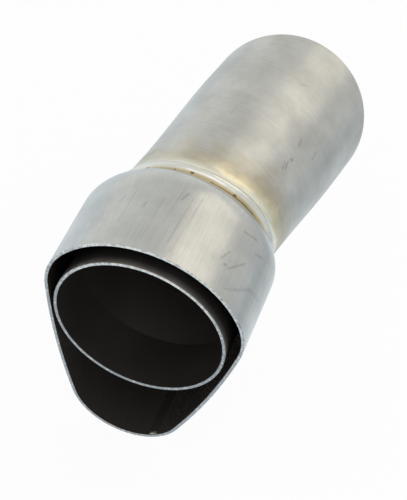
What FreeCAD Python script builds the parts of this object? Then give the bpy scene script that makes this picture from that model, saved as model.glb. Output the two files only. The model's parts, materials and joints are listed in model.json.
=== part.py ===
"""Exhaust baffle insert: a rear tube welded into an egg-shaped outlet sleeve with a round tube inside.

Frame: millimetres, +Z up, +Y to the rear. The origin is the centre of the outlet mouth,
on the outlet tube's axis. The point of the egg section is down.
"""
import FreeCAD
import Part
import math
import os

Vector = FreeCAD.Vector

# Outlet tube
outlet_tube_diameter = 54.0
outlet_tube_wall = 1.0
outlet_straight_length = 18.0

# Outlet sleeve: its egg section lies round the outlet tube, with its middle plane off the tube's axis
sleeve_wall = 1.0
sleeve_side_offset = 0.5
sleeve_straight_length = 27.2
shoulder_length = 8.4
crown_gap = 4.4
crown_centre_height = 2.6
corner_tightening = 9.9
corner_angle = 59.0
side_radius = 235.0
point_radius = 19.0
point_drop = 9.4

# Rear tube: its axis crosses the neck plane off the outlet axis and leans away from it
rear_tube_diameter = 50.8
rear_tube_wall = 1.0
neck_side_offset = 0.3
neck_rise = 4.6
rear_lean_sideways = 11.1
rear_lean_up = 3.1
rear_tube_length = 64.1

# Rear socket: the rear end is expanded to slip over a pipe of the rear tube's own size
socket_clearance = 0.65
socket_transition_start = 37.0
socket_transition_length = 10.0
rear_cut_angle = 20.9
rear_cut_turn = 17.8

# Welds and edges
neck_hole_clearance = 0.05
neck_hole_overlap = 0.3
neck_seat_length = 2.2
groove_height = 0.5
groove_length = 1.8
crest_height = 1.2
crest_length = 2.8
crest_points = 5
flare_length = 3.4
flare_points = 4
seam_width = 3.4
seam_height = 0.6
seam_end_gap = 0.5
seam_turn = 37.0
edge_break = 0.2

# Shoulder loft, and a margin by which cutting shapes run past what they cut
shoulder_sections = 7
loft_degree = 3
overrun = 1.0
on_plane_tolerance = 1e-4

forward = Vector(0, 1, 0)
crown_radius = outlet_tube_diameter / 2 + crown_gap + sleeve_wall
corner_radius = crown_radius - corner_tightening
point_centre_drop = outlet_tube_diameter / 2 + point_drop
neck_plane_y = sleeve_straight_length + shoulder_length
neck_centre = Vector(neck_side_offset, neck_plane_y, neck_rise)
rear_tube_radius = rear_tube_diameter / 2
socket_bore_radius = (rear_tube_diameter + socket_clearance) / 2
seat_plane_y = neck_plane_y - neck_seat_length


def tube_direction():
    """Direction of the rear tube, leaning sideways and up from straight back."""
    sideways = math.radians(rear_lean_sideways)
    up = math.radians(rear_lean_up)
    return Vector(math.sin(sideways) * math.cos(up), math.cos(sideways) * math.cos(up), math.sin(up))


def egg_arcs(inset):
    """Arc centres, radii and end angles of the right half of the section, inset from the outside.

    Angles run from the crown (0) to the point (180), clockwise as seen from the front.
    """
    crown = crown_radius - inset
    corner = corner_radius - inset
    side = side_radius - inset
    point = point_radius - inset
    turn = math.radians(corner_angle)
    reach = crown - corner
    corner_x = reach * math.sin(turn)
    corner_z = crown_centre_height + reach * math.cos(turn)
    # The side arc touches the corner arc and the point arc from outside both
    rise = corner_z + point_centre_drop
    span = math.hypot(corner_x, rise)
    to_point = side - point
    to_corner = side - corner
    along = (to_point ** 2 - to_corner ** 2 + span ** 2) / (2 * span)
    across = math.sqrt(to_point ** 2 - along ** 2)
    side_x = along * corner_x / span - across * rise / span
    side_z = -point_centre_drop + along * rise / span + across * corner_x / span
    side_start = math.atan2(corner_x - side_x, corner_z - side_z)
    side_end = math.atan2(-side_x, -point_centre_drop - side_z)
    return [
        (0.0, crown_centre_height, crown, 0.0, turn),
        (corner_x, corner_z, corner, turn, side_start),
        (side_x, side_z, side, side_start, side_end),
        (0.0, -point_centre_drop, point, side_end, math.pi),
    ]


def section_wire(y, inset, neck_radius, share):
    """Closed section at y, a share of the way from the egg outline to the round neck.

    Each arc keeps the directions it faces, while its centre and radius move to the neck's.
    """
    right = egg_arcs(inset)
    full_turn = 2 * math.pi
    left = [(-x, z, radius, full_turn - end, full_turn - start) for x, z, radius, start, end in right]
    edges = []
    for x, z, radius, start, end in right + left[::-1]:
        x += sleeve_side_offset
        x += (neck_side_offset - x) * share
        z += (neck_rise - z) * share
        radius += (neck_radius - radius) * share
        spots = []
        for angle in (start, (start + end) / 2, end):
            spots.append(Vector(x + radius * math.sin(angle), y, z + radius * math.cos(angle)))
        edges.append(Part.Arc(*spots).toShape())
    return Part.Wire(edges)


def egg_body(inset, end_y, neck_radius):
    """Solid inside the sleeve's skin: a straight run, then a shoulder rounded in to the neck."""
    straight_end = sleeve_straight_length
    front = section_wire(0.0, inset, neck_radius, 0.0)
    straight = Part.Face(front).extrude(forward * straight_end)
    wires = []
    for index in range(shoulder_sections):
        turn = math.pi / 2 * index / (shoulder_sections - 1)
        y = straight_end + (end_y - straight_end) * math.sin(turn)
        wires.append(section_wire(y, inset, neck_radius, 1 - math.cos(turn)))
    shoulder = Part.makeLoft(wires, True, False, False, loft_degree)
    return straight.fuse(shoulder)


def rear_tube_axis_point(distance):
    """Point on the rear tube's axis, this far behind the neck plane."""
    return neck_centre + tube_direction() * distance


def revolved_about_tube(profile):
    """Turn a profile of (distance along the tube, radius) pairs about the rear tube's axis."""
    points = [Vector(radius, 0, distance) for distance, radius in profile]
    face = Part.Face(Part.makePolygon(points + points[:1]))
    body = face.revolve(Vector(0, 0, 0), Vector(0, 0, 1), 360)
    turn = FreeCAD.Rotation(Vector(0, 0, 1), tube_direction())
    body.Placement = FreeCAD.Placement(neck_centre, turn)
    return body


def half_space(point, normal):
    """A large block with one face through the point, lying on the side the normal points to."""
    size = 4 * (rear_tube_length + rear_tube_diameter)
    block = Part.makeBox(size, size, size, Vector(-size / 2, -size / 2, 0))
    block.Placement = FreeCAD.Placement(point, FreeCAD.Rotation(Vector(0, 0, 1), normal))
    return block


def rear_cut_normal():
    """Normal of the slanted rear end, which leaves the upper side of the tube longer."""
    axis = tube_direction()
    side = axis.cross(Vector(0, 0, 1)).normalize()
    up = side.cross(axis)
    turn = math.radians(rear_cut_turn)
    long_side = up * math.cos(turn) + side * math.sin(turn)
    cut = math.radians(rear_cut_angle)
    return axis * math.cos(cut) - long_side * math.sin(cut)


def tube_profile(inset, front, rear):
    """Outline of the rear tube from the axis out to its skin, inset by a wall where asked."""
    slim = rear_tube_radius - inset
    wide = socket_bore_radius + rear_tube_wall - inset
    transition_end = socket_transition_start + socket_transition_length
    return [
        (front, 0.0),
        (front, slim),
        (socket_transition_start, slim),
        (transition_end, wide),
        (rear, wide),
        (rear, 0.0),
    ]


def build_rear_tube():
    reach = rear_tube_diameter
    front = -reach / 2
    rear = rear_tube_length + reach / 2
    outside = revolved_about_tube(tube_profile(0.0, front, rear))
    inside = revolved_about_tube(tube_profile(rear_tube_wall, front - overrun, rear + overrun))
    tube = outside.cut(inside)
    tube = tube.cut(half_space(Vector(0, seat_plane_y, 0), -forward))
    rear_end = rear_tube_axis_point(rear_tube_length)
    tube = tube.cut(half_space(rear_end, rear_cut_normal()))
    return deburred(tube, rear_end, rear_cut_normal())


def deburred(shape, point, normal):
    """Break the sheared edges that lie on the plane through the point."""
    edges = []
    for edge in shape.Edges:
        spots = [vertex.Point for vertex in edge.Vertexes]
        spots.append(edge.valueAt((edge.FirstParameter + edge.LastParameter) / 2))
        if all(abs((spot - point).dot(normal)) < on_plane_tolerance for spot in spots):
            edges.append(edge)
    return shape.makeChamfer(edge_break, edges)


def build_outlet_sleeve():
    hole_radius = rear_tube_radius + neck_hole_clearance
    outside = egg_body(0.0, neck_plane_y, hole_radius + sleeve_wall)
    # The cavity closes in past the edge of the hole, so the hole alone leaves the edge
    cavity = egg_body(sleeve_wall, neck_plane_y - sleeve_wall, hole_radius - neck_hole_overlap)
    reach = rear_tube_radius
    hole = revolved_about_tube([(-reach, 0), (-reach, hole_radius), (reach, hole_radius), (reach, 0)])
    sleeve = outside.cut(cavity).cut(hole)
    return deburred(sleeve, Vector(0, 0, 0), forward), cavity


def outlet_body(inset):
    """Solid inside the outlet tube's skin: straight, then tapered to the rear tube's front end."""
    radius = outlet_tube_diameter / 2 - inset
    end_radius = rear_tube_radius - inset
    end_centre = rear_tube_axis_point(-neck_seat_length / tube_direction().y)
    straight_end = forward * outlet_straight_length
    straight = Part.makeCylinder(radius, outlet_straight_length, Vector(0, 0, 0), forward)
    front = Part.Wire([Part.makeCircle(radius, straight_end, forward)])
    rear = Part.Wire([Part.makeCircle(end_radius, end_centre, forward)])
    return straight.fuse(Part.makeLoft([front, rear], True, True))


def build_outlet_tube():
    tube = outlet_body(0.0).cut(outlet_body(outlet_tube_wall))
    return deburred(tube, Vector(0, 0, 0), forward)


def build_neck_weld():
    """Weld round the rear tube: a groove against the sleeve, a round crest, and a flare up the tube.

    It is turned about a straight axis. Then it is stretched and sheared, so that its front stays flat
    on the neck plane and its inside lies on the leaning tube.
    """
    skin = rear_tube_radius
    crest_end = groove_length + crest_length
    flare_end = crest_end + flare_length
    start = Vector(skin, 0, 0)
    toe = Vector(skin + groove_height, 0, 0)
    groove = Vector(skin + groove_height, 0, groove_length)
    crest = Vector(skin + crest_height, 0, groove_length + crest_length / 2)
    heel = Vector(skin + groove_height, 0, crest_end)
    hollow = Vector(skin + groove_height / 4, 0, (crest_end + flare_end) / 2)
    foot = Vector(skin, 0, flare_end)
    # The two curves are drawn as short flats, which keeps the faces of the weld simple
    crest_line = Part.Arc(groove, crest, heel).toShape().discretize(crest_points)
    flare_line = Part.Arc(heel, hollow, foot).toShape().discretize(flare_points)
    profile = Part.makePolygon([start, toe] + crest_line + flare_line[1:] + [start])
    bead = Part.Face(profile).revolve(Vector(0, 0, 0), Vector(0, 0, 1), 360)
    axis = tube_direction()
    along = axis / axis.y
    wide = (axis - forward * axis.y).normalize() / axis.y
    across = forward.cross(wide).normalize()
    lay = FreeCAD.Matrix(
        wide.x, across.x, along.x, neck_centre.x,
        wide.y, across.y, along.y, neck_centre.y,
        wide.z, across.z, along.z, neck_centre.z,
        0, 0, 0, 1,
    )
    return bead.transformGeometry(lay)


def build_seam_weld(cavity):
    """Low bead inside the rounded point of the sleeve, where the rolled sheet was closed."""
    half = seam_width / 2
    radius = (half ** 2 + seam_height ** 2) / (2 * seam_height)
    turn = math.radians(seam_turn)
    reach = point_radius - sleeve_wall - seam_height + radius
    centre_x = sleeve_side_offset + reach * math.sin(turn)
    centre_z = -point_centre_drop - reach * math.cos(turn)
    centre = Vector(centre_x, seam_end_gap, centre_z)
    bar = Part.makeCylinder(radius, sleeve_straight_length - seam_end_gap, centre, forward)
    return bar.common(cavity)


def main():
    os.makedirs("parts", exist_ok=True)
    rear_tube = build_rear_tube()
    outlet_sleeve, cavity = build_outlet_sleeve()
    outlet_tube = build_outlet_tube()
    pieces = {
        "rear_tube": rear_tube,
        "outlet_sleeve": outlet_sleeve,
        "outlet_tube": outlet_tube,
        "neck_weld": build_neck_weld(),
        "sleeve_seam_weld": build_seam_weld(cavity),
    }
    for name, shape in pieces.items():
        solids = shape.Solids
        box = shape.BoundBox
        print(name, "valid", shape.isValid(), "solids", len(solids), "volume", round(shape.Volume, 1))
        print("   from", round(box.XMin, 2), round(box.YMin, 2), round(box.ZMin, 2))
        print("   to", round(box.XMax, 2), round(box.YMax, 2), round(box.ZMax, 2))
        Part.makeCompound(solids).exportStep("parts/" + name + ".step")


main()
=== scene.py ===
"""Looks of the exhaust baffle insert: raw stainless steel tube and sheet, brushed, welded and heat tinted.

Metres, in the part's own frame: +Z up, +Y to the rear, the origin at the centre of the outlet mouth.
"""

import json
import math

import bpy
from bpy.props import FloatProperty, FloatVectorProperty, PointerProperty
from mathutils import Matrix, Vector


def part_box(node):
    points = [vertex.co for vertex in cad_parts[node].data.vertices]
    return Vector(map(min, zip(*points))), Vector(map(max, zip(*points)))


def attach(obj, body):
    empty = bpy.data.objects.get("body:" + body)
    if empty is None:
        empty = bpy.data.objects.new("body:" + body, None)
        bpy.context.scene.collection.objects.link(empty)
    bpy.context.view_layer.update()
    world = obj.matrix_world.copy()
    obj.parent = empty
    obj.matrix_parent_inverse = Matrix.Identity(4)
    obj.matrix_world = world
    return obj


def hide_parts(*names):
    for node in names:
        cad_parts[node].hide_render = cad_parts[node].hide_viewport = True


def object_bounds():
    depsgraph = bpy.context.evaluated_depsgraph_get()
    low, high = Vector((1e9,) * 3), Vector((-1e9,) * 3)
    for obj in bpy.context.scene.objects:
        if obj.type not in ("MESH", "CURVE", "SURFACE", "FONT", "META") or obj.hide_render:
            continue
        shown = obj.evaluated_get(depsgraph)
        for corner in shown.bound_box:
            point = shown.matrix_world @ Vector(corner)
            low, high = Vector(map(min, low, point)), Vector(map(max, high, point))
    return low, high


bl_info = {
    "name": "Exhaust Baffle Insert",
    "version": (1, 0, 0),
    "blender": (4, 5, 0),
    "location": "3D View > Sidebar > Baffle Insert",
    "description": "Dresses the welded exhaust baffle insert in brushed steel and lights it",
    "category": "Object",
}

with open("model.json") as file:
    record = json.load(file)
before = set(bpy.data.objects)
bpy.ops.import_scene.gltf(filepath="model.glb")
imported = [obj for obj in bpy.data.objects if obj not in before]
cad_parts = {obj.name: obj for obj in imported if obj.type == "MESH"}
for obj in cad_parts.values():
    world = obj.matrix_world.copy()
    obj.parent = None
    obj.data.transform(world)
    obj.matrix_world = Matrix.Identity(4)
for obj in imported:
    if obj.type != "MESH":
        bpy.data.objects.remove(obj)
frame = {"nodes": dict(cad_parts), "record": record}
cad_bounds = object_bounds()

MM = 0.001

# Places on the part, worked out from its mounts and its boxes
mounts = {mount["name"]: mount for mount in frame["record"]["mounts"]}
tube_axis = Vector(mounts["inlet_socket"]["axis"]).normalized()
neck_plane_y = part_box("neck_weld")[0][1]
socket_point = Vector(mounts["inlet_socket"]["pos_m"])
neck_centre = socket_point - tube_axis * ((socket_point.y - neck_plane_y) / tube_axis.y)
tube_radius = 25.4 * MM
tube_turn = Vector((0, 0, 1)).rotation_difference(tube_axis)
rearward = Vector((0, 1, 0))

# The round crown of the sleeve, on which its marks are placed
sleeve_offset = 0.5 * MM
crown_height = 2.6 * MM
crown_radius = 32.4 * MM
crown_centre = Vector((sleeve_offset, 0, crown_height))

# The bare front rims reach this far back, just past their broken edges
rim_depth = 0.21 * MM

# A face whose normal leans this much up the tube's axis is part of its rear rim
rear_facing = 0.8

# Points closer than this are one point
merge_distance = 0.001 * MM

# Most of a noise pattern's values lie in this range
noise_span = {1: 0.3, 2: 0.7}


def linear(hex_colour):
    """Linear RGBA from an sRGB colour written as six hex digits."""
    channels = []
    for start in (0, 2, 4):
        value = int(hex_colour[start:start + 2], 16) / 255
        channels.append(value / 12.92 if value <= 0.04045 else ((value + 0.055) / 1.055) ** 2.4)
    return (*channels, 1.0)


def colour_property(name, description, hex_colour):
    return FloatVectorProperty(
        name=name, description=description, subtype="COLOR", size=4, min=0, max=1, default=linear(hex_colour)
    )


def length_property(name, description, millimetres):
    return FloatProperty(
        name=name, description=description, unit="LENGTH", subtype="DISTANCE", default=millimetres * MM
    )


class StageSettings(bpy.types.PropertyGroup):
    """Floor, lamps and camera."""

    camera_place: FloatVectorProperty(
        name="Camera place",
        description="Where the photographer's lens stands",
        subtype="TRANSLATION",
        unit="LENGTH",
        default=(52.249 * MM, -230.674 * MM, 317.538 * MM),
    )
    camera_aim: FloatVectorProperty(
        name="Camera aim",
        description="Point that the middle of the picture looks at",
        subtype="TRANSLATION",
        unit="LENGTH",
        default=(14.46 * MM, -6.27 * MM, 51.61 * MM),
    )
    camera_roll: FloatProperty(
        name="Camera roll", description="Turn of the camera about its view", subtype="ANGLE", default=0.2352
    )
    camera_lens: FloatProperty(
        name="Lens", description="Focal length on a 36 mm sensor, in millimetres", default=97.2
    )
    floor_colour: colour_property("Floor", "Pale floor and backdrop", "F6F7F8")
    key_colour: colour_property("Key light", "Warm soft box above and behind on the right", "FFF0DA")
    top_colour: colour_property("Top light", "Neutral soft box overhead", "FFFFFF")
    key_level: FloatProperty(
        name="Key level", description="Brightness of the key light, where white paper is 1", default=0.5
    )
    top_level: FloatProperty(
        name="Top level", description="Brightness of the top light, where white paper is 1", default=0.4
    )


class SteelSettings(bpy.types.PropertyGroup):
    """Finishes of the steel pieces."""

    tube_colour: colour_property("Rear tube", "Satin stainless steel, brushed round the tube", "C9C8C2")
    sleeve_colour: colour_property("Sleeve", "Stainless sheet, brushed lengthwise", "C8C8C3")
    inside_colour: colour_property("Inside", "Dark satin inside of the tubes", "37332F")
    pocket_colour: colour_property("Pocket", "Dark satin inside of the sleeve", "57534E")
    rim_colour: colour_property("Rims", "Bare sheared metal of the rims", "A3A6A8")
    straw_colour: colour_property("Straw tint", "Thin oxide beside the weld", "D6CBAC")
    brown_colour: colour_property("Brown tint", "Thicker oxide in the weld's groove", "AA9364")
    # Bright bead metal, which also stands for the painted highlight on the weld's crest
    weld_and_highlight_colour: colour_property("Weld", "Smooth bright bead", "E4E3DA")
    tint_width: length_property("Tint width", "How far the heat tint reaches behind the sleeve", 24.0)


class TubeSettings(bpy.types.PropertyGroup):
    """Wall and rear socket of the rear tube, with distances up the tube from the neck."""

    wall: length_property("Wall", "Thickness of the tube", 1.0)
    socket_radius: length_property("Socket radius", "Inside radius of the rear socket", 25.725)
    ease_start: length_property("Skin opens from", "Where the skin starts to widen", 12.0)
    ease_end: length_property("Skin opens to", "Where the skin has its full width", 53.0)
    cone_start: length_property("Bore opens from", "Where the cone of the bore starts", 37.0)
    cone_end: length_property("Bore opens to", "Where the socket starts", 47.0)
    edge_break: length_property("Edge break", "Width filed off the sharp edges of the rear rim", 0.2)


class WeldSettings(bpy.types.PropertyGroup):
    """Cross-section of the neck weld, up from the tube's skin and back from the sleeve."""

    toe_height: length_property("Toe height", "Height where the weld meets the sleeve", 0.8)
    groove_height: length_property("Groove height", "Height at the bottom of the groove", 0.55)
    groove_place: length_property("Groove place", "Distance from the sleeve to the groove's bottom", 1.0)
    crest_height: length_property("Crest height", "Height of the rounded crest", 1.22)
    crest_place: length_property("Crest place", "Distance from the sleeve to the crest", 3.4)
    crest_radius: length_property("Crest width", "Half the width of the rounded crest", 0.8)
    foot_place: length_property("Foot place", "Distance from the sleeve to the end of the flare", 7.9)


def add_node(tree, kind, inputs=(), stops=(), **settings):
    """Add one node, with its settings, and its inputs as values or as other nodes' outputs.

    Inputs go by name or by place. A map range has its value at 0, the range it comes from at 1 and 2
    and the range it goes to at 3 and 4. A colour mix has its share at 0 and its colours at 6 and 7.
    A pattern's scale is written as the number of its cells in a millimetre.
    """
    item = tree.nodes.new("ShaderNode" + kind)
    for name, value in settings.items():
        setattr(item, name, value)
    for socket, value in dict(inputs).items():
        if isinstance(value, bpy.types.NodeSocket):
            tree.links.new(value, item.inputs[socket])
        else:
            item.inputs[socket].default_value = value
    for index, (position, colour) in enumerate(stops):
        elements = item.color_ramp.elements
        element = elements[index] if index < len(elements) else elements.new(position)
        element.position = position
        element.color = colour
    return item


def new_material(name):
    """An empty node material with its shader and output in place."""
    material = bpy.data.materials.new(name)
    material.use_nodes = True
    tree = material.node_tree
    tree.nodes.clear()
    shader = add_node(tree, "BsdfPrincipled")
    add_node(tree, "OutputMaterial", {"Surface": shader.outputs[0]})
    return material, tree, shader


def inside_mask(tree, place, point, direction, least):
    """1 on the faces that look in towards the middle line of a piece, 0 on its outside and its rims.

    The middle line runs through the point in the direction. A face counts where its normal turns
    towards that line by the least share.
    """
    outward = add_node(tree, "VectorMath", {0: place.outputs["Object"], 1: point}, operation="SUBTRACT")
    along = add_node(tree, "VectorMath", {0: outward.outputs[0], 1: direction}, operation="DOT_PRODUCT")
    lengthwise = add_node(
        tree, "VectorMath", {0: direction, "Scale": along.outputs["Value"]}, operation="SCALE"
    )
    across = add_node(
        tree, "VectorMath", {0: outward.outputs[0], 1: lengthwise.outputs[0]}, operation="SUBTRACT"
    )
    unit = add_node(tree, "VectorMath", {0: across.outputs[0]}, operation="NORMALIZE")
    facing = add_node(
        tree, "VectorMath", {0: unit.outputs[0], 1: place.outputs["Normal"]}, operation="DOT_PRODUCT"
    )
    mask = add_node(tree, "Math", {0: facing.outputs["Value"], 1: -least}, operation="LESS_THAN")
    return mask.outputs[0]


def rim_mask(tree, place, depth):
    """1 on the sheared front rim of a piece, 0 behind it."""
    parts = add_node(tree, "SeparateXYZ", {0: place.outputs["Object"]})
    mask = add_node(tree, "Math", {0: parts.outputs[1], 1: depth}, operation="LESS_THAN")
    return mask.outputs[0]


def rim_colour(tree, place, steel, brightest):
    """Grey sheared edge with painted glints that sparkle where it was filed, more of them the higher it lies,
    most of all from the brightest height up.
    """
    parts = add_node(tree, "SeparateXYZ", {0: place.outputs["Object"]})
    # Painted highlight: the glints grow denser with height, as if lit from above
    filed = add_node(tree, "MapRange", {0: parts.outputs[2], 1: 0.0, 2: brightest, 3: 0.0, 4: 0.24})
    glints = add_node(
        tree, "TexNoise", {"Vector": place.outputs["Object"], "Scale": 0.9 / MM, "Detail": 2.0}
    )
    glints_by_height = add_node(tree, "Math", {0: glints.outputs[0], 1: filed.outputs[0]}, operation="ADD")
    share = add_node(tree, "MapRange", {0: glints_by_height.outputs[0], 1: 0.5, 2: 0.85})
    bare = add_node(
        tree,
        "Mix",
        {0: share.outputs[0], 6: tuple(steel.rim_colour), 7: linear("ECECE8")},
        data_type="RGBA",
    )
    return bare.outputs[2]


def wall_colour(tree, outside, inside, inside_colour, rim, bare):
    """Colour of a thin wall: its outside, a dark inside and bare metal with painted glints on its rim, by
    their masks.
    """
    faces = add_node(tree, "Mix", {0: inside, 6: outside, 7: tuple(inside_colour)}, data_type="RGBA")
    whole = add_node(tree, "Mix", {0: rim, 6: faces.outputs[2], 7: bare}, data_type="RGBA")
    return whole.outputs[2]


def tube_frame(tree, place):
    """Coordinates on the rear tube: z along its axis from the neck, x and y across it."""
    local = add_node(
        tree,
        "Mapping",
        {"Vector": place.outputs["Object"], "Location": neck_centre, "Rotation": tube_turn.to_euler()},
        vector_type="TEXTURE",
    )
    return local.outputs[0]


def side_share(tree, local, degrees):
    """1 on the side of the tube at an angle from the top, turning right, and -1 on the far side."""
    turn = math.radians(degrees)
    side = Vector((math.sin(turn), -math.cos(turn), 0)) / tube_radius
    toward = add_node(tree, "VectorMath", {0: local, 1: side}, operation="DOT_PRODUCT")
    return toward.outputs["Value"]


def distance_behind(tree, place):
    """Distance behind the sleeve's rear face."""
    parts = add_node(tree, "SeparateXYZ", {0: place.outputs["Object"]})
    behind = add_node(tree, "Math", {0: parts.outputs[1], 1: neck_plane_y}, operation="SUBTRACT")
    return behind.outputs[0]


def heat_distance(tree, local, behind):
    """Distance behind the sleeve with ragged edges, which wander more the further they lie back."""
    steady_to = 4 * MM
    ragged_from = 12 * MM
    least_wander = 0.2 * MM
    most_wander = 4 * MM
    ragged = add_node(tree, "TexNoise", {"Vector": local, "Scale": 0.12 / MM, "Detail": 5.0})
    wander = add_node(
        tree, "MapRange", {0: behind, 1: steady_to, 2: ragged_from, 3: least_wander, 4: most_wander}
    )
    uneven = add_node(tree, "MapRange", {0: ragged.outputs[0], **noise_span, 3: -1.0, 4: 1.0})
    shift = add_node(tree, "Math", {0: wander.outputs[0], 1: uneven.outputs[0]}, operation="MULTIPLY")
    distance = add_node(tree, "Math", {0: behind, 1: shift.outputs[0]}, operation="ADD")
    return distance.outputs[0]


def heat_tint_and_painted_glow(tree, local, distance, steel):
    """Oxide colours by distance behind the sleeve, run across the weld and up the tube without a break.

    They carry a painted highlight on the weld's crest and, up and to the right where the key light falls, a
    painted glow just behind it. There the oxide is also strongest, where the neck got the most heat; it is
    mild all round.
    """
    share = add_node(tree, "MapRange", {0: distance, 1: 0.0, 2: steel.tint_width})
    plain, bright = tuple(steel.tube_colour), tuple(steel.weld_and_highlight_colour)
    # Painted light: the weld's bright band is bead metal with a painted highlight on its crest, and the cream
    # F1ECD6 just behind it is a painted glow of the key light
    hot_and_lit_side = add_node(
        tree,
        "ValToRGB",
        {0: share.outputs[0]},
        stops=[
            (0.0, tuple(steel.brown_colour)),
            (0.08, linear("CDB98E")),
            (0.105, bright),
            (0.17, bright),
            (0.23, linear("F1ECD6")),
            (0.34, tuple(steel.straw_colour)),
            (0.48, linear("BFB7A4")),
            (0.62, linear("C3BFB2")),
            (0.85, plain),
        ],
    )
    # The mild side carries the same painted highlight on the crest
    mild = add_node(
        tree,
        "ValToRGB",
        {0: share.outputs[0]},
        stops=[
            (0.0, linear("A8997C")),
            (0.08, linear("C6BCA0")),
            (0.105, bright),
            (0.17, bright),
            (0.24, linear("D2CEBE")),
            (0.45, linear("C5BFB0")),
            (0.7, plain),
        ],
    )
    # The side facing the key light gets the hot colours with their painted glow, as well as the thicker oxide
    hottest_and_lit = side_share(tree, local, 32)
    heated_and_lit = add_node(tree, "MapRange", {0: hottest_and_lit, 1: 0.4, 2: 0.93, 3: 0.2, 4: 1.0})
    colour = add_node(
        tree, "Mix", {0: heated_and_lit.outputs[0], 6: mild.outputs[0], 7: hot_and_lit_side.outputs[0]}, data_type="RGBA"
    )
    return colour.outputs[2]


# Scuffs on the rear tube: from and to, each as degrees round from the top and millimetres up the
# tube, then how far it fades out to each side in millimetres and the share of light left in it
tube_marks = {
    "scuff_low": ((40.6, 29.6), (42.4, 27.2), 0.5, 0.68),
    "scuff_low_beside": ((39.0, 28.7), (40.8, 26.2), 0.4, 0.74),
    "scuff_low_dot": ((41.4, 31.0), (41.6, 31.3), 0.9, 0.66),
    "scuff_middle": ((38.0, 38.6), (39.2, 36.6), 0.9, 0.8),
    "scuff_high": ((52.4, 41.5), (54.0, 38.8), 0.5, 0.76),
    "scuff_left": ((-12.0, 31.0), (-11.4, 32.4), 0.5, 0.86),
    "scuff_far": ((14.0, 55.0), (17.0, 55.6), 0.7, 0.86),
}


def skin_radius(tube, along):
    """Outside radius of the rear tube at a distance up from the neck: it opens gently to the socket."""
    share = min(1.0, max(0.0, (along - tube.ease_start) / (tube.ease_end - tube.ease_start)))
    growth = tube.socket_radius - (tube_radius - tube.wall)
    return tube_radius + growth * share * share * (3 - 2 * share)


def tube_point(tube, degrees, millimetres):
    """Point on the rear tube's skin, by its angle from the top and its distance up from the neck."""
    turn = math.radians(degrees)
    up = (Vector((0, 0, 1)) - tube_axis * tube_axis.z).normalized()
    side = tube_axis.cross(up)
    outward = up * math.cos(turn) + side * math.sin(turn)
    return neck_centre + tube_axis * (millimetres * MM) + outward * skin_radius(tube, millimetres * MM)


def brushed_tube_material(steel):
    """Stainless tube, linished round its axis, then welded.

    Fine rings cross soft lengthwise highlights, with cloudy patches, a few dull scuffs and a straw
    and brown tint that fades up the tube from the weld, with a painted glow next to it on the side facing the
    key light.
    """
    material, tree, shader = new_material("linished_stainless_tube")
    place = add_node(tree, "TexCoord")
    local = tube_frame(tree, place)

    # Linishing marks are about 0.3 mm apart here, coarser than the real grit so that they show
    along = 3.3 / MM
    around = 0.045 / MM
    rings = add_node(tree, "Mapping", {"Vector": local, "Scale": (around, around, along)})
    ring_lines = add_node(tree, "TexNoise", {"Vector": rings.outputs[0], "Scale": 1.0, "Detail": 3.0})
    line_shade = add_node(tree, "MapRange", {0: ring_lines.outputs[0], **noise_span, 3: 0.94, 4: 1.05})
    clouds = add_node(
        tree, "TexNoise", {"Vector": local, "Scale": 0.085 / MM, "Detail": 6.0, "Roughness": 0.6}
    )
    cloud_shade = add_node(tree, "MapRange", {0: clouds.outputs[0], **noise_span, 3: 0.86, 4: 1.09})
    worked = add_node(
        tree, "Math", {0: line_shade.outputs[0], 1: cloud_shade.outputs[0]}, operation="MULTIPLY"
    )

    tube = bpy.context.scene.insert_tube
    scuffs = [
        (tube_point(tube, *first), tube_point(tube, *last), *rest)
        for first, last, *rest in tube_marks.values()
    ]
    scuffed = marks_shade(tree, place, scuffs)
    shade = add_node(tree, "Math", {0: worked.outputs[0], 1: scuffed}, operation="MULTIPLY")
    distance = heat_distance(tree, local, distance_behind(tree, place))
    heated_and_lit = heat_tint_and_painted_glow(tree, local, distance, steel)
    outside = add_node(
        tree, "Mix", {0: 1.0, 6: heated_and_lit, 7: shade.outputs[0]}, data_type="RGBA", blend_type="MULTIPLY"
    )
    inside = inside_mask(tree, place, neck_centre, tube_axis, least=0.45)
    facing = add_node(
        tree, "VectorMath", {0: place.outputs["Normal"], 1: tube_axis}, operation="DOT_PRODUCT"
    )
    rim = add_node(tree, "Math", {0: facing.outputs["Value"], 1: rear_facing}, operation="GREATER_THAN")
    bare = rim_colour(tree, place, steel, brightest=35 * MM)
    colour = wall_colour(tree, outside.outputs[2], inside, steel.inside_colour, rim.outputs[0], bare)
    tree.links.new(colour, shader.inputs["Base Color"])

    metal = add_node(tree, "MapRange", {0: inside, 3: 1.0, 4: 0.6})
    tree.links.new(metal.outputs[0], shader.inputs["Metallic"])
    rough = add_node(tree, "MapRange", {0: clouds.outputs[0], **noise_span, 3: 0.43, 4: 0.33})
    tree.links.new(rough.outputs[0], shader.inputs["Roughness"])
    # The rings spread each highlight along the tube
    shader.inputs["Anisotropic"].default_value = 0.35
    lengthwise = add_node(tree, "CombineXYZ", {0: tube_axis.x, 1: tube_axis.y, 2: tube_axis.z})
    tree.links.new(lengthwise.outputs[0], shader.inputs["Tangent"])
    bump = add_node(tree, "Bump", {"Strength": 0.22, "Distance": 0.02 * MM, "Height": ring_lines.outputs[0]})
    tree.links.new(bump.outputs[0], shader.inputs["Normal"])
    return material


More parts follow.
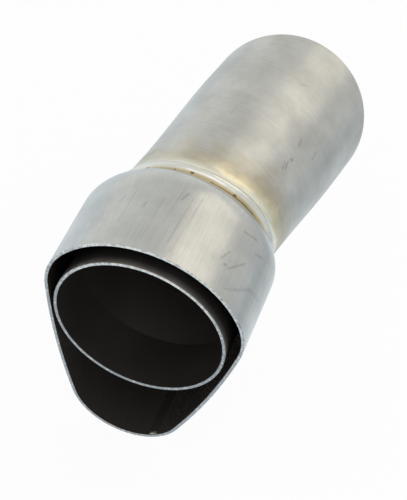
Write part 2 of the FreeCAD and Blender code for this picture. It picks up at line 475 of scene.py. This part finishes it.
# Scratches and stains on the sleeve: from and to, each as degrees round the crown and millimetres
# from the mouth, then how far it fades out to each side in millimetres and the share of light left
# in it
sleeve_marks = {
    "scratch_top": ((1.2, 25.4), (-0.5, 22.4), 0.55, 0.72),
    "scratch_left": ((-16.5, 18.0), (-17.0, 16.0), 0.5, 0.78),
    "scratch_far_left": ((-30.0, 20.5), (-31.5, 17.0), 0.4, 0.84),
    "scratch_middle": ((30.5, 11.0), (33.4, 15.2), 0.5, 0.76),
    "scratch_right": ((36.6, 10.0), (44.2, 16.0), 0.5, 0.74),
    "dash_rear": ((36.2, 24.8), (45.1, 26.3), 0.6, 0.76),
    "dash_low": ((48.6, 22.5), (54.0, 24.0), 0.6, 0.78),
    "dot": ((33.6, 10.1), (34.0, 10.3), 0.8, 0.66),
    "stain_high": ((39.5, 3.6), (46.0, 6.6), 0.6, 0.86),
    "stain_low": ((46.0, 6.6), (55.0, 11.5), 0.9, 0.86),
    "stain_end": ((55.0, 11.5), (68.0, 14.0), 0.9, 0.88),
    "line_far_left": ((-25.0, 24.0), (-26.0, 9.0), 0.35, 0.9),
    "line_left": ((-9.0, 21.0), (-10.0, 4.0), 0.35, 0.88),
    "line_top": ((-2.0, 25.0), (-3.5, 12.0), 0.4, 0.87),
    "line_middle": ((4.5, 24.0), (3.0, 6.0), 0.4, 0.85),
    "line_warm": ((9.0, 26.0), (6.0, 3.0), 0.4, 0.86),
    "line_right": ((13.0, 12.0), (11.5, 3.0), 0.3, 0.9),
}


def crown_point(degrees, millimetres):
    """Point on the sleeve's crown, by its angle from the top and its distance from the mouth."""
    turn = math.radians(degrees)
    outward = Vector((math.sin(turn), 0, math.cos(turn)))
    return crown_centre + outward * crown_radius + Vector((0, millimetres * MM, 0))


def marks_shade(tree, place, marks):
    """Share of light left by scratches and stains from point to point: 1 away from them."""
    shade = 1.0
    for first, last, reach, left in marks:
        line = last - first
        offset = add_node(
            tree, "VectorMath", {0: place.outputs["Object"], 1: first}, operation="SUBTRACT"
        )
        share = add_node(
            tree, "VectorMath", {0: offset.outputs[0], 1: line / line.length_squared}, operation="DOT_PRODUCT"
        )
        held = add_node(tree, "Clamp", {0: share.outputs["Value"]})
        nearest = add_node(tree, "VectorMath", {0: line, "Scale": held.outputs[0]}, operation="SCALE")
        away = add_node(
            tree, "VectorMath", {0: offset.outputs[0], 1: nearest.outputs[0]}, operation="DISTANCE"
        )
        mark = add_node(
            tree, "MapRange", {0: away.outputs["Value"], 1: 0.0, 2: reach * MM, 3: left, 4: 1.0}
        )
        shade = add_node(tree, "Math", {0: shade, 1: mark.outputs[0]}, operation="MULTIPLY").outputs[0]
    return shade


def brushed_sheet_material(steel):
    """Stainless sheet, brushed lengthwise, then rolled and worked over by hand.

    Flat grey fields with fine lengthwise lines, soft patches, short dull scratches that fan out,
    a dark inside and a bare rim with painted glints.
    """
    material, tree, shader = new_material("brushed_stainless_sheet")
    place = add_node(tree, "TexCoord")

    # Brush lines are about 0.4 mm apart here, coarser than the real ones so that they show
    across = 2.4 / MM
    along = 0.055 / MM
    stretched = add_node(
        tree, "Mapping", {"Vector": place.outputs["Object"], "Scale": (across, along, across)}
    )
    lines = add_node(tree, "TexNoise", {"Vector": stretched.outputs[0], "Scale": 1.0, "Detail": 3.0})
    line_shade = add_node(tree, "MapRange", {0: lines.outputs[0], **noise_span, 3: 0.945, 4: 1.045})
    clouds = add_node(
        tree,
        "TexNoise",
        {"Vector": place.outputs["Object"], "Scale": 0.07 / MM, "Detail": 6.0, "Roughness": 0.6},
    )
    cloud_shade = add_node(tree, "MapRange", {0: clouds.outputs[0], **noise_span, 3: 0.87, 4: 1.08})
    worked = add_node(
        tree, "Math", {0: line_shade.outputs[0], 1: cloud_shade.outputs[0]}, operation="MULTIPLY"
    )
    marks = [
        (crown_point(*first), crown_point(*last), *rest) for first, last, *rest in sleeve_marks.values()
    ]
    marked = marks_shade(tree, place, marks)
    shade = add_node(tree, "Math", {0: worked.outputs[0], 1: marked}, operation="MULTIPLY")
    outside = add_node(
        tree,
        "Mix",
        {0: 1.0, 6: tuple(steel.sleeve_colour), 7: shade.outputs[0]},
        data_type="RGBA",
        blend_type="MULTIPLY",
    )
    # The egg's middle lies below the outlet tube's, and its walls face it at a slant
    egg_middle = Vector((sleeve_offset, 0, -8 * MM))
    inside = inside_mask(tree, place, egg_middle, rearward, least=0.03)
    rim = rim_mask(tree, place, rim_depth)
    bare = rim_colour(tree, place, steel, brightest=crown_height + crown_radius)
    colour = wall_colour(tree, outside.outputs[2], inside, steel.pocket_colour, rim, bare)
    tree.links.new(colour, shader.inputs["Base Color"])

    metal = add_node(tree, "MapRange", {0: inside, 3: 1.0, 4: 0.6})
    tree.links.new(metal.outputs[0], shader.inputs["Metallic"])
    rough = add_node(tree, "MapRange", {0: clouds.outputs[0], **noise_span, 3: 0.3, 4: 0.2})
    tree.links.new(rough.outputs[0], shader.inputs["Roughness"])
    bump = add_node(tree, "Bump", {"Strength": 0.3, "Distance": 0.02 * MM, "Height": lines.outputs[0]})
    tree.links.new(bump.outputs[0], shader.inputs["Normal"])
    return material


def dulled_tube_material(steel):
    """Outlet tube of drawn stainless, dulled by gas.

    Near black satin inside, brownish grey outside that goes dark with painted shade into the gap behind the
    rim, and a bare bright rim with painted glints.
    """
    material, tree, shader = new_material("dulled_stainless_tube")
    place = add_node(tree, "TexCoord")
    clouds = add_node(
        tree, "TexNoise", {"Vector": place.outputs["Object"], "Scale": 0.09 / MM, "Detail": 5.0}
    )

    # Painted shade: the outside goes from light to dark over the first few millimetres behind the rim,
    # as less light reaches into the gap under the sleeve
    painted_shade_depth = 7 * MM
    parts = add_node(tree, "SeparateXYZ", {0: place.outputs["Object"]})
    depth = add_node(tree, "MapRange", {0: parts.outputs[1], 1: 0.0, 2: painted_shade_depth})
    surface_tone = add_node(
        tree,
        "ValToRGB",
        {0: depth.outputs[0]},
        stops=[
            (0.0, linear("C8C1B6")),
            (0.16, linear("8A847E")),
            (0.4, linear("4A4644")),
            (1.0, linear("282625")),
        ],
    )
    cloud_shade = add_node(tree, "MapRange", {0: clouds.outputs[0], **noise_span, 3: 0.45, 4: 1.15})
    outside = add_node(
        tree,
        "Mix",
        {0: 1.0, 6: surface_tone.outputs[0], 7: cloud_shade.outputs[0]},
        data_type="RGBA",
        blend_type="MULTIPLY",
    )
    inside = inside_mask(tree, place, Vector((0, 0, 0)), rearward, least=0.45)
    rim = rim_mask(tree, place, rim_depth)
    bare = rim_colour(tree, place, steel, brightest=24 * MM)
    colour = wall_colour(tree, outside.outputs[2], inside, steel.inside_colour, rim, bare)
    tree.links.new(colour, shader.inputs["Base Color"])
    metal = add_node(tree, "MapRange", {0: rim, 3: 0.45, 4: 1.0})
    tree.links.new(metal.outputs[0], shader.inputs["Metallic"])
    rough = add_node(tree, "MapRange", {0: clouds.outputs[0], **noise_span, 3: 0.55, 4: 0.4})
    tree.links.new(rough.outputs[0], shader.inputs["Roughness"])
    return material


def seam_material(steel):
    """Seam bead at the sleeve's point, as dark with gas as the wall round it.

    Only its front end is bare, where it was dressed with the rim.
    """
    material, tree, shader = new_material("dulled_seam_metal")
    place = add_node(tree, "TexCoord")
    clouds = add_node(
        tree, "TexNoise", {"Vector": place.outputs["Object"], "Scale": 0.2 / MM, "Detail": 4.0}
    )
    surface_tone = add_node(
        tree, "Mix", {0: clouds.outputs[0], 6: linear("3C3936"), 7: linear("524D48")}, data_type="RGBA"
    )
    dressed_length = 1.3 * MM
    front = rim_mask(tree, place, dressed_length)
    colour = add_node(tree, "Mix", {0: front, 6: surface_tone.outputs[2], 7: linear("E8E2CC")}, data_type="RGBA")
    tree.links.new(colour.outputs[2], shader.inputs["Base Color"])
    metal = add_node(tree, "MapRange", {0: front, 3: 0.6, 4: 1.0})
    tree.links.new(metal.outputs[0], shader.inputs["Metallic"])
    shader.inputs["Roughness"].default_value = 0.4
    return material


def weld_material(steel):
    """Fused weld metal, left as it cooled.

    A smooth bright crest with a painted highlight, straw oxide up the flare with a painted glow behind
    the crest on the side facing the key light, and a brown groove against the sleeve with dark specks and one
    dark line.
    """
    material, tree, shader = new_material("fused_weld_metal")
    place = add_node(tree, "TexCoord")
    local = tube_frame(tree, place)
    ragged = add_node(tree, "TexNoise", {"Vector": local, "Scale": 0.26 / MM, "Detail": 4.0})
    behind = distance_behind(tree, place)
    distance = heat_distance(tree, local, behind)
    heated_and_lit = heat_tint_and_painted_glow(tree, local, distance, steel)

    # Specks of slag, only in the groove
    groove_end = 2.3 * MM
    cells = add_node(tree, "TexVoronoi", {"Vector": local, "Scale": 0.42 / MM})
    cell_choice = add_node(tree, "SeparateColor", {0: cells.outputs["Color"]})
    speck_edge = add_node(tree, "MapRange", {0: cell_choice.outputs[0], 1: 0.55, 2: 1.0, 3: 0.0, 4: 0.42})
    speck = add_node(
        tree, "Math", {0: cells.outputs["Distance"], 1: speck_edge.outputs[0]}, operation="LESS_THAN"
    )
    in_groove = add_node(tree, "Math", {0: behind, 1: groove_end}, operation="LESS_THAN")
    specks = add_node(tree, "Math", {0: speck.outputs[0], 1: in_groove.outputs[0]}, operation="MULTIPLY")

    # One dark line along the groove, on the side of the neck that is up and to the right
    dark_line_place = 1.3 * MM
    dark_line_half_width = 0.18 * MM
    dark_line_band = add_node(
        tree, "Math", {0: distance, 1: dark_line_place, 2: dark_line_half_width}, operation="COMPARE"
    )
    near = add_node(tree, "Math", {0: side_share(tree, local, 22), 1: 0.93}, operation="GREATER_THAN")
    dark_line = add_node(tree, "Math", {0: dark_line_band.outputs[0], 1: near.outputs[0]}, operation="MULTIPLY")
    specks_and_line = add_node(tree, "Math", {0: specks.outputs[0], 1: dark_line.outputs[0]}, operation="MAXIMUM")
    specks_and_line_share = add_node(tree, "Math", {0: specks_and_line.outputs[0], 1: 0.75}, operation="MULTIPLY")
    colour = add_node(
        tree, "Mix", {0: specks_and_line_share.outputs[0], 6: heated_and_lit, 7: linear("4A3A26")}, data_type="RGBA"
    )
    tree.links.new(colour.outputs[2], shader.inputs["Base Color"])
    shader.inputs["Metallic"].default_value = 1.0
    rough = add_node(tree, "MapRange", {0: ragged.outputs[0], **noise_span, 3: 0.3, 4: 0.2})
    tree.links.new(rough.outputs[0], shader.inputs["Roughness"])
    bump = add_node(tree, "Bump", {"Strength": 0.2, "Distance": 0.05 * MM, "Height": ragged.outputs[0]})
    tree.links.new(bump.outputs[0], shader.inputs["Normal"])
    return material


class INSERT_OT_steel(bpy.types.Operator):
    """Give the outlet tube, the sleeve and its seam their finish"""

    bl_idname = "insert.steel"
    bl_label = "Finish Steel"

    def execute(self, context):
        steel = context.scene.insert_steel
        finishes = {
            "outlet_sleeve": brushed_sheet_material(steel),
            "outlet_tube": dulled_tube_material(steel),
            "sleeve_seam_weld": seam_material(steel),
        }
        for name, material in finishes.items():
            slots = frame["nodes"][name].data.materials
            slots.clear()
            slots.append(material)
        return {"FINISHED"}


def ring_piece(name, sides, turn, stations):
    """Closed shell that starts as one circle, is drawn out ring by ring and joined to its own start.

    The circle's axis is +Z, turned by the matrix. Each station is a ring's centre and its radius.
    """
    centre, radius = stations[0]
    bpy.ops.object.select_all(action="DESELECT")
    bpy.ops.mesh.primitive_circle_add(vertices=sides, radius=radius, fill_type="NOTHING")
    piece = bpy.context.object
    piece.name = name
    piece.matrix_world = Matrix.Translation(centre) @ turn
    bpy.ops.object.transform_apply(location=True, rotation=True, scale=True)
    bpy.ops.object.mode_set(mode="EDIT")
    bpy.ops.mesh.select_mode(type="EDGE")
    bpy.ops.mesh.select_all(action="SELECT")
    for new_centre, new_radius in stations[1:]:
        bpy.ops.mesh.extrude_edges_move(TRANSFORM_OT_translate={"value": new_centre - centre})
        growth = new_radius / radius
        bpy.ops.transform.resize(value=(growth, growth, growth), center_override=new_centre)
        centre, radius = new_centre, new_radius
    bpy.ops.mesh.select_all(action="DESELECT")
    bpy.ops.mesh.select_non_manifold()
    bpy.ops.mesh.bridge_edge_loops()
    bpy.ops.object.mode_set(mode="OBJECT")
    return piece


def clean_mesh():
    """Merge the doubled points of the piece in hand and turn all its faces outward."""
    bpy.ops.object.mode_set(mode="EDIT")
    bpy.ops.mesh.select_all(action="SELECT")
    bpy.ops.mesh.remove_doubles(threshold=merge_distance)
    bpy.ops.mesh.normals_make_consistent(inside=False)
    bpy.ops.object.mode_set(mode="OBJECT")


def rear_cut(node):
    """Point and normal of the slanted plane in which a node of the rear tube ends."""
    areas = {}
    for face in node.data.polygons:
        if face.normal.dot(tube_axis) > rear_facing:
            direction = tuple(round(value, 3) for value in face.normal)
            areas[direction] = areas.get(direction, 0.0) + face.area
    normal = Vector(max(areas, key=areas.get)).normalized()
    reach = max(vertex.co.dot(normal) for vertex in node.data.vertices)
    return normal * reach, normal


class INSERT_OT_rear_tube(bpy.types.Operator):
    """Draw the rear tube out along its axis, ease it open to its socket and cut both of its ends"""

    bl_idname = "insert.rear_tube"
    bl_label = "Draw Rear Tube"

    def execute(self, context):
        tube = context.scene.insert_tube
        bore = tube_radius - tube.wall

        # The skin opens so gently that no step shows, and the bore keeps its short cone. Both ends are
        # drawn longer than the tube and cut to length below.
        sides = 256
        ease_steps = 24
        front = -10 * MM
        rear = 82 * MM
        stations = [(front, tube_radius), (tube.ease_start, tube_radius)]
        for step in range(1, ease_steps + 1):
            along = tube.ease_start + (tube.ease_end - tube.ease_start) * step / ease_steps
            stations.append((along, skin_radius(tube, along)))
        stations += [
            (rear, skin_radius(tube, rear)),
            (rear, tube.socket_radius),
            (tube.cone_end, tube.socket_radius),
            (tube.cone_start, bore),
            (front, bore),
        ]
        rings = [(neck_centre + tube_axis * along, radius) for along, radius in stations]
        piece = ring_piece("rear_tube_wall", sides, tube_turn.to_matrix().to_4x4(), rings)

        # Both ends are cut where the frame's own tube ends, and the rear rim's edges are broken
        front_point = Vector((0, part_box("rear_tube")[0][1], 0))
        bpy.ops.object.mode_set(mode="EDIT")
        for point, normal in ((front_point, -rearward), rear_cut(frame["nodes"]["rear_tube"])):
            bpy.ops.mesh.select_all(action="SELECT")
            bpy.ops.mesh.bisect(plane_co=point, plane_no=normal, clear_outer=True)
            bpy.ops.mesh.bridge_edge_loops()
        bpy.ops.mesh.region_to_loop()
        bpy.ops.mesh.bevel(offset=tube.edge_break, segments=1, affect="EDGES")
        bpy.ops.object.mode_set(mode="OBJECT")
        clean_mesh()

        bpy.ops.object.shade_smooth_by_angle(angle=math.radians(30))
        piece.data.materials.append(brushed_tube_material(context.scene.insert_steel))
        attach(piece, "root")
        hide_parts("rear_tube")
        return {"FINISHED"}


def weld_rings(weld):
    """Distance behind the sleeve and height above the tube of each ring of the weld, front to rear."""
    rise = weld.crest_height - weld.groove_height
    crest_drop = rise * 0.4
    crest_start = weld.crest_place - weld.crest_radius
    heel_place = weld.crest_place + weld.crest_radius
    heel_height = weld.crest_height - crest_drop

    # The groove, from the sleeve down to its bottom
    rings = [
        (0.0, weld.toe_height),
        (weld.groove_place / 2, (weld.toe_height + weld.groove_height) / 2),
        (weld.groove_place, weld.groove_height),
    ]

    # Its far side, which climbs ever faster to the crest
    climb = rise * 0.55
    climb_curve = 1.6
    climb_steps = 4
    for step in range(1, climb_steps):
        share = step / climb_steps
        rings.append((
            weld.groove_place + (crest_start - weld.groove_place) * share,
            weld.groove_height + climb * share ** climb_curve,
        ))

    # The rounded crest, an arc of 72 degrees to each side of its top
    arc = math.pi * 0.4
    arc_steps = 8
    for step in range(arc_steps + 1):
        turn = arc * (1 - 2 * step / arc_steps)
        rings.append((
            weld.crest_place - weld.crest_radius * math.sin(turn) / math.sin(arc),
            weld.crest_height - crest_drop * (1 - math.cos(turn)) / (1 - math.cos(arc)),
        ))

    # The hollow flare, which runs out on the tube
    flare_curve = 2.4
    flare_steps = 10
    for step in range(1, flare_steps + 1):
        share = step / flare_steps
        rings.append((
            heel_place + (weld.foot_place - heel_place) * share,
            heel_height * (1 - share) ** flare_curve,
        ))
    return rings


class INSERT_OT_neck_weld(bpy.types.Operator):
    """Raise the neck weld ring by ring from a circle on the sleeve's rear face"""

    bl_idname = "insert.neck_weld"
    bl_label = "Lay Neck Weld"

    def execute(self, context):
        weld = context.scene.insert_weld
        lean = tube_axis / tube_axis.y - rearward
        wide = lean.normalized()
        turn = Matrix((wide, rearward.cross(wide), rearward)).transposed().to_4x4()

        # The rings stand parallel to the sleeve's rear face and follow the tube's lean. The first and
        # the last lie just under the tube's skin.
        sides = 288
        under_skin = 0.1 * MM
        rings = [(0.0, -under_skin), *weld_rings(weld), (weld.foot_place, -under_skin)]
        stations = [
            (neck_centre + (rearward + lean) * distance, tube_radius + height) for distance, height in rings
        ]
        piece = ring_piece("neck_weld_bead", sides, turn, stations)
        clean_mesh()
        self.widen_along_lean(piece, wide)
        self.roughen(piece)
        bpy.ops.object.shade_smooth_by_angle(angle=math.radians(50))
        piece.data.materials.append(weld_material(context.scene.insert_steel))
        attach(piece, "root")
        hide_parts("neck_weld")
        return {"FINISHED"}

    def widen_along_lean(self, piece, wide):
        """Stretch each ring to the ellipse in which the leaning tube crosses the neck plane."""
        stretch = 1 / tube_axis.y - 1
        for vertex in piece.data.vertices:
            behind = (vertex.co.y - neck_plane_y) / tube_axis.y
            offset = vertex.co - (neck_centre + tube_axis * behind)
            vertex.co += wide * (offset.dot(wide) * stretch)

    def roughen(self, piece):
        """Give the crest and the flare the slight rise and fall of a bead laid by hand.

        Each wave is its number of swells round the tube, its start and its share of the swell.
        """
        swell = 0.07 * MM
        least_height = 0.2 * MM
        full_height = 1.0 * MM
        waves = ((7, 0.6, 1.0), (17, 2.1, 0.6), (41, 0.0, 0.4))
        for vertex in piece.data.vertices:
            behind = (vertex.co.y - neck_plane_y) / tube_axis.y
            outward = vertex.co - (neck_centre + tube_axis * behind)
            height = outward.length - tube_radius
            if height >= least_height:
                turn = math.atan2(outward.z, outward.x)
                wave = sum(share * math.sin(count * turn + start) for count, start, share in waves)
                vertex.co += outward.normalized() * (swell * wave * min(1.0, height / full_height))


def aimed(place, target, roll=0.0):
    """Matrix of a lamp or camera at a place, looking at the target."""
    turn = (Vector(target) - Vector(place)).to_track_quat("-Z", "Y").to_matrix().to_4x4()
    return Matrix.Translation(place) @ turn @ Matrix.Rotation(roll, 4, "Z")


def add_soft_box(name, azimuth, elevation, distance, width, height, colour, level):
    """One rectangular lamp that faces the part, by its bearing from straight back and its rise.

    Its level is the brightness that it shows, where white paper is 1.
    """
    middle = Vector((5 * MM, 30 * MM, 10 * MM))
    bearing, rise = math.radians(azimuth), math.radians(elevation)
    direction = Vector((
        math.sin(bearing) * math.cos(rise), math.cos(bearing) * math.cos(rise), math.sin(rise)
    ))
    lamp = bpy.data.lights.new(name, "AREA")
    lamp.shape = "RECTANGLE"
    lamp.size = width
    lamp.size_y = height
    lamp.color = tuple(colour)[:3]
    lamp.energy = level * math.pi * width * height
    holder = bpy.data.objects.new(name, lamp)
    holder.matrix_world = aimed(middle + direction * distance, middle)
    bpy.context.scene.collection.objects.link(holder)


def show_background(tree, plain, pale):
    """Mix two shaders so that the camera, metal and glass see the pale one."""
    path = add_node(tree, "LightPath")
    glossy = add_node(
        tree,
        "Math",
        {0: path.outputs["Is Camera Ray"], 1: path.outputs["Is Glossy Ray"]},
        operation="MAXIMUM",
    )
    seen = add_node(
        tree, "Math", {0: glossy.outputs[0], 1: path.outputs["Is Transmission Ray"]}, operation="MAXIMUM"
    )
    return add_node(tree, "MixShader", {0: seen.outputs[0], 1: plain.outputs[0], 2: pale.outputs[0]})


class INSERT_OT_stage(bpy.types.Operator):
    """Build the pale floor, the soft light and the camera"""

    bl_idname = "insert.stage"
    bl_label = "Build Stage"

    def execute(self, context):
        stage = context.scene.insert_stage
        context.scene.view_settings.view_transform = "Standard"
        self.build_floor(stage)
        self.build_world(context.scene)
        add_soft_box(
            "key_box",
            azimuth=32,
            elevation=45,
            distance=0.9,
            width=0.64,
            height=0.52,
            colour=stage.key_colour,
            level=stage.key_level,
        )
        add_soft_box(
            "top_box",
            azimuth=180,
            elevation=62,
            distance=0.9,
            width=0.7,
            height=0.5,
            colour=stage.top_colour,
            level=stage.top_level,
        )

        lens = bpy.data.cameras.new("camera")
        lens.lens = stage.camera_lens
        lens.sensor_width = 36
        lens.clip_start = 0.01
        camera = bpy.data.objects.new("camera", lens)
        camera.matrix_world = aimed(stage.camera_place, stage.camera_aim, stage.camera_roll)
        context.scene.collection.objects.link(camera)
        context.scene.camera = camera
        return {"FINISHED"}

    def build_floor(self, stage):
        """Round pale floor under the part, which shows as bright to the camera and in the metal."""
        bpy.ops.object.select_all(action="DESELECT")
        floor_radius = 3.0
        floor_height = cad_bounds[0][2]
        bpy.ops.mesh.primitive_circle_add(
            vertices=96, radius=floor_radius, fill_type="NGON", location=(0, 0, floor_height)
        )
        floor = bpy.context.object
        floor.name = "floor"
        bpy.ops.object.transform_apply(location=True, rotation=True, scale=True)
        material = bpy.data.materials.new("matt_white_floor")
        material.use_nodes = True
        tree = material.node_tree
        tree.nodes.clear()
        diffuse = add_node(tree, "BsdfDiffuse", {"Color": tuple(stage.floor_colour)})
        # Metal sees the floor go grey towards the unlit right side of the studio, over this distance
        grey_reach = 0.6
        path = add_node(tree, "LightPath")
        place = add_node(tree, "TexCoord")
        parts = add_node(tree, "SeparateXYZ", {0: place.outputs["Object"]})
        side = add_node(tree, "MapRange", {0: parts.outputs[0], 1: 0.0, 2: grey_reach})
        grey = add_node(
            tree,
            "ValToRGB",
            {0: side.outputs[0]},
            stops=[
                (0.08, linear("FDFDFD")),
                (0.42, linear("C5C5C5")),
                (0.58, linear("D8D8D8")),
                (1.0, linear("E9E9E9")),
            ],
        )
        seen = add_node(tree, "Mix", {0: path.outputs["Is Camera Ray"], 2: grey.outputs[0], 3: 1.0})
        tone = add_node(
            tree,
            "Mix",
            {0: path.outputs["Is Camera Ray"], 6: linear("ECF5FC"), 7: (1, 1, 1, 1)},
            data_type="RGBA",
        )
        glow = add_node(tree, "Emission", {"Color": tone.outputs[2], "Strength": seen.outputs[0]})
        lifted = add_node(tree, "MixShader", {0: 0.94, 1: diffuse.outputs[0], 2: glow.outputs[0]})
        surface = show_background(tree, diffuse, lifted)
        add_node(tree, "OutputMaterial", {"Surface": surface.outputs[0]})
        floor.data.materials.append(material)

    def build_world(self, scene):
        """Even light for matt surfaces, and for metal a pale grey sky, lightest at the horizon."""
        world = bpy.data.worlds.new("soft_studio")
        scene.world = world
        world.use_nodes = True
        tree = world.node_tree
        tree.nodes.clear()
        place = add_node(tree, "TexCoord")
        height = add_node(tree, "SeparateXYZ", {0: place.outputs["Generated"]})
        # The studio is darker low down on its right side
        across = add_node(
            tree, "Math", {0: height.outputs[2], 1: -0.6, 2: height.outputs[0]}, operation="MULTIPLY_ADD"
        )
        unlit = add_node(tree, "MapRange", {0: across.outputs[0], 1: 0.3, 2: 0.62, 3: 1.0, 4: 0.8})
        sky = add_node(
            tree,
            "ValToRGB",
            {0: height.outputs[2]},
            stops=[
                (0.0, linear("F7F9FB")),
                (0.3, linear("F0F2F2")),
                (0.5, linear("E5E7E6")),
                (0.64, linear("DDDFDF")),
                (0.9, linear("EAEBE9")),
                (1.0, linear("ECEDEC")),
            ],
        )
        even = add_node(tree, "Background", {"Color": (1, 1, 1, 1), "Strength": 0.8})
        shown = add_node(
            tree,
            "Mix",
            {0: 1.0, 6: sky.outputs[0], 7: unlit.outputs[0]},
            data_type="RGBA",
            blend_type="MULTIPLY",
        )
        # The camera itself sees plain white behind the part
        path = add_node(tree, "LightPath")
        backdrop = add_node(
            tree,
            "Mix",
            {0: path.outputs["Is Camera Ray"], 6: shown.outputs[2], 7: (1, 1, 1, 1)},
            data_type="RGBA",
        )
        pale = add_node(tree, "Background", {"Color": backdrop.outputs[2], "Strength": 1.0})
        surface = show_background(tree, even, pale)
        add_node(tree, "OutputWorld", {"Surface": surface.outputs[0]})


class INSERT_PT_panel(bpy.types.Panel):
    """Sizes, colours and steps of the insert"""

    bl_idname = "INSERT_PT_panel"
    bl_label = "Baffle Insert"
    bl_space_type = "VIEW_3D"
    bl_region_type = "UI"
    bl_category = "Baffle Insert"

    def draw(self, context):
        scene = context.scene
        for group in (scene.insert_steel, scene.insert_tube, scene.insert_weld, scene.insert_stage):
            column = self.layout.column()
            for name in group.__annotations__:
                column.prop(group, name)
        for operator in (INSERT_OT_stage, INSERT_OT_steel, INSERT_OT_rear_tube, INSERT_OT_neck_weld):
            self.layout.operator(operator.bl_idname)


classes = (
    StageSettings,
    SteelSettings,
    TubeSettings,
    WeldSettings,
    INSERT_OT_stage,
    INSERT_OT_steel,
    INSERT_OT_rear_tube,
    INSERT_OT_neck_weld,
    INSERT_PT_panel,
)


def register():
    for item in classes:
        bpy.utils.register_class(item)
    bpy.types.Scene.insert_stage = PointerProperty(type=StageSettings)
    bpy.types.Scene.insert_steel = PointerProperty(type=SteelSettings)
    bpy.types.Scene.insert_tube = PointerProperty(type=TubeSettings)
    bpy.types.Scene.insert_weld = PointerProperty(type=WeldSettings)


def unregister():
    del bpy.types.Scene.insert_weld
    del bpy.types.Scene.insert_tube
    del bpy.types.Scene.insert_steel
    del bpy.types.Scene.insert_stage
    for item in reversed(classes):
        bpy.utils.unregister_class(item)


def main():
    register()
    bpy.ops.insert.stage()
    bpy.ops.insert.steel()
    bpy.ops.insert.rear_tube()
    bpy.ops.insert.neck_weld()


if __name__ == "__main__":
    main()
